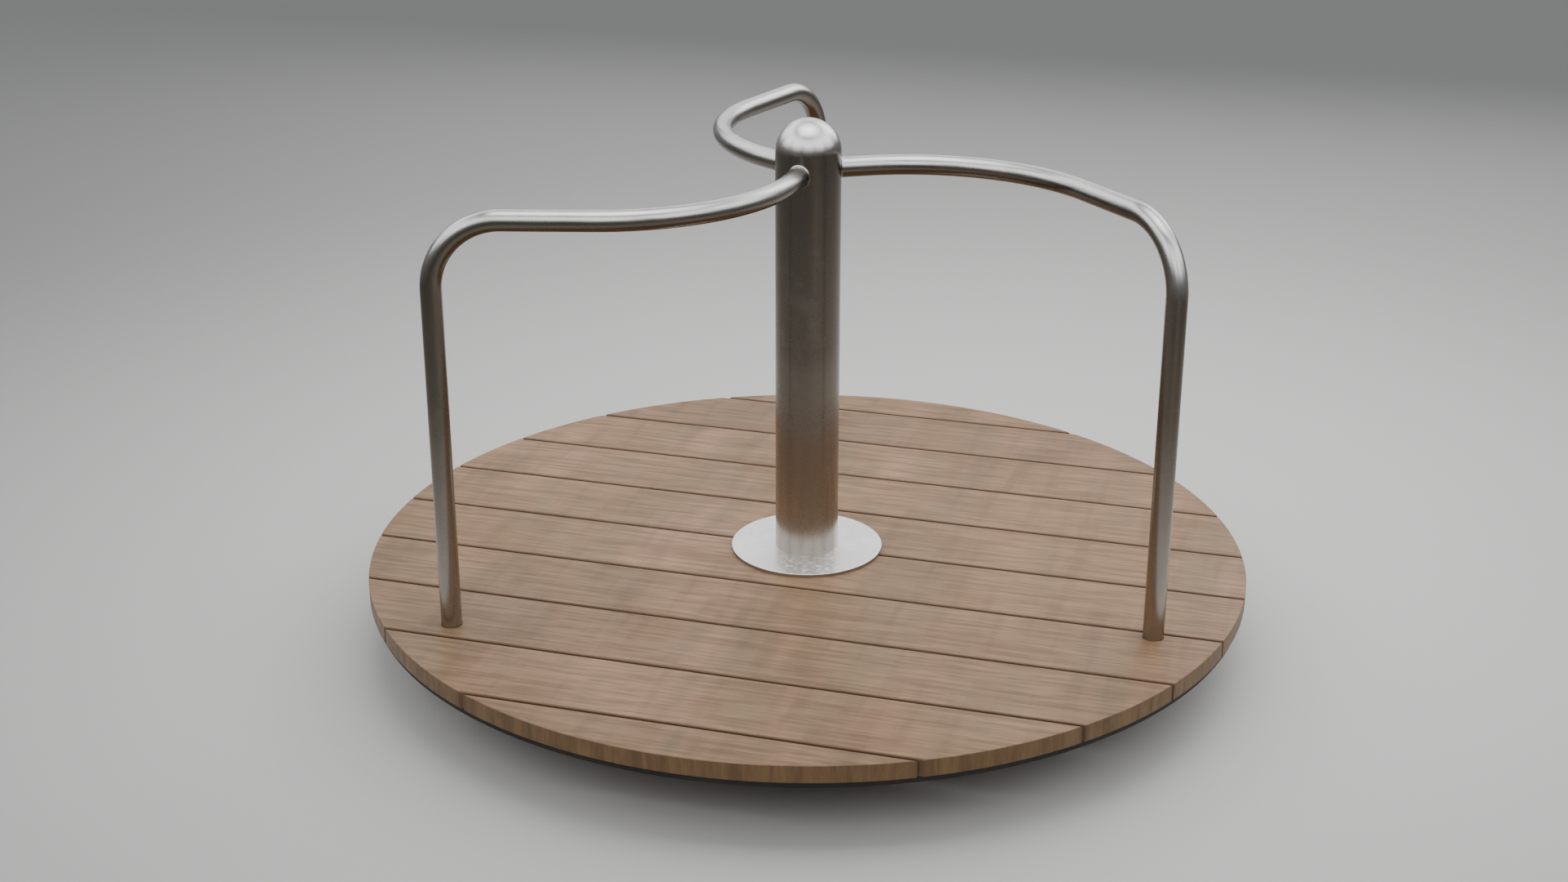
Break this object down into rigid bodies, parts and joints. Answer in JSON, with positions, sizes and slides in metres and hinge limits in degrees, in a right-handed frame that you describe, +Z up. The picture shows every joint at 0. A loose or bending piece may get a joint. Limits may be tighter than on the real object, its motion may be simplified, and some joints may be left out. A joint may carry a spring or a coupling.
{
  "type": "playground merry-go-round",
  "caption": "Round timber deck on a subframe with a domed central column and swept tubular handrails, spinning on ball bearings round a fixed spindle on a bolted ground plate.",
  "frame": {"origin": "on the spin axis, at the underside of the ground plate", "axes": "+Z up along the spin axis; +X to the right and +Y away from a person facing the front, with the first handrail leg at the back"},
  "size_m": [1.5, 1.5, 0.896],
  "materials": {
    "deck_timber": "planed and oiled hardwood decking, satin, fine grain along the boards",
    "galvanised_steel": "hot-dip galvanised steel, burnished to a soft mirror, faint clouds and wear",
    "rail_steel": "galvanised tube burnished by hands, satin",
    "black_steel": "black powder coat, semi-matt",
    "frame_steel": "black powder coat on welded subframe",
    "base_steel": "hot-dip galvanised plate, dull, spangled",
    "shaft_steel": "turned steel with a light oil film",
    "bearing_steel": "ground and polished bearing steel",
    "cage_brass": "machined brass, satin",
    "seal_rubber": "nitrile rubber, matt",
    "zinc_fastener": "zinc plated fasteners, slightly dulled"
  },
  "bodies": {
    "base": {"ground_plate": "base_steel", "spindle": "shaft_steel", "lock_nut": "zinc_fastener", "lock_washer": "zinc_fastener", "lower_bearing_inner_ring": "bearing_steel", "upper_bearing_inner_ring": "bearing_steel", "gusset_1": "base_steel", "gusset_2": "base_steel", "gusset_3": "base_steel", "gusset_4": "base_steel"},
    "platform": {"column_dome": "galvanised_steel", "column_tube": "galvanised_steel", "cover_flange": "galvanised_steel", "deck_board_01": "deck_timber", "deck_board_02": "deck_timber", "deck_board_03": "deck_timber", "deck_board_04": "deck_timber", "deck_board_05": "deck_timber", "deck_board_06": "deck_timber", "deck_board_07": "deck_timber", "deck_board_08": "deck_timber", "deck_board_09": "deck_timber", "deck_board_10": "deck_timber", "deck_screws": "zinc_fastener", "dust_seal": "seal_rubber", "handrail_1": "rail_steel", "handrail_2": "rail_steel", "handrail_3": "rail_steel", "handrail_socket_1": "frame_steel", "handrail_socket_2": "frame_steel", "handrail_socket_3": "frame_steel", "handrail_welds": "rail_steel", "hub_plate": "frame_steel", "lower_bearing_carrier": "shaft_steel", "lower_bearing_outer_ring": "bearing_steel", "lower_circlip": "zinc_fastener", "rim_ring": "black_steel", "socket_bolts": "zinc_fastener", "socket_nuts": "zinc_fastener", "subframe_arm_1": "frame_steel", "subframe_arm_2": "frame_steel", "subframe_arm_3": "frame_steel", "subframe_arm_4": "frame_steel", "subframe_arm_5": "frame_steel", "subframe_arm_6": "frame_steel", "upper_bearing_carrier": "shaft_steel", "upper_bearing_outer_ring": "bearing_steel"},
    "lower_cage": {"lower_bearing_balls": "bearing_steel", "lower_bearing_cage": "cage_brass"},
    "upper_cage": {"upper_bearing_balls": "bearing_steel", "upper_bearing_cage": "cage_brass"}
  },
  "joints": [
    {"name": "deck_spin", "type": "hinge", "parent": "base", "child": "platform", "pos_m": [0, 0, 0], "axis": [0, 0, 1], "continuous": true},
    {"name": "lower_cage_spin", "type": "hinge", "parent": "base", "child": "lower_cage", "pos_m": [0, 0, 0], "axis": [0, 0, 1], "continuous": true},
    {"name": "upper_cage_spin", "type": "hinge", "parent": "base", "child": "upper_cage", "pos_m": [0, 0, 0], "axis": [0, 0, 1], "continuous": true}
  ],
  "couplings": [
    {"joint": "lower_cage_spin", "follows": "deck_spin", "ratio": 0.5907},
    {"joint": "upper_cage_spin", "follows": "deck_spin", "ratio": 0.5977}
  ]
}
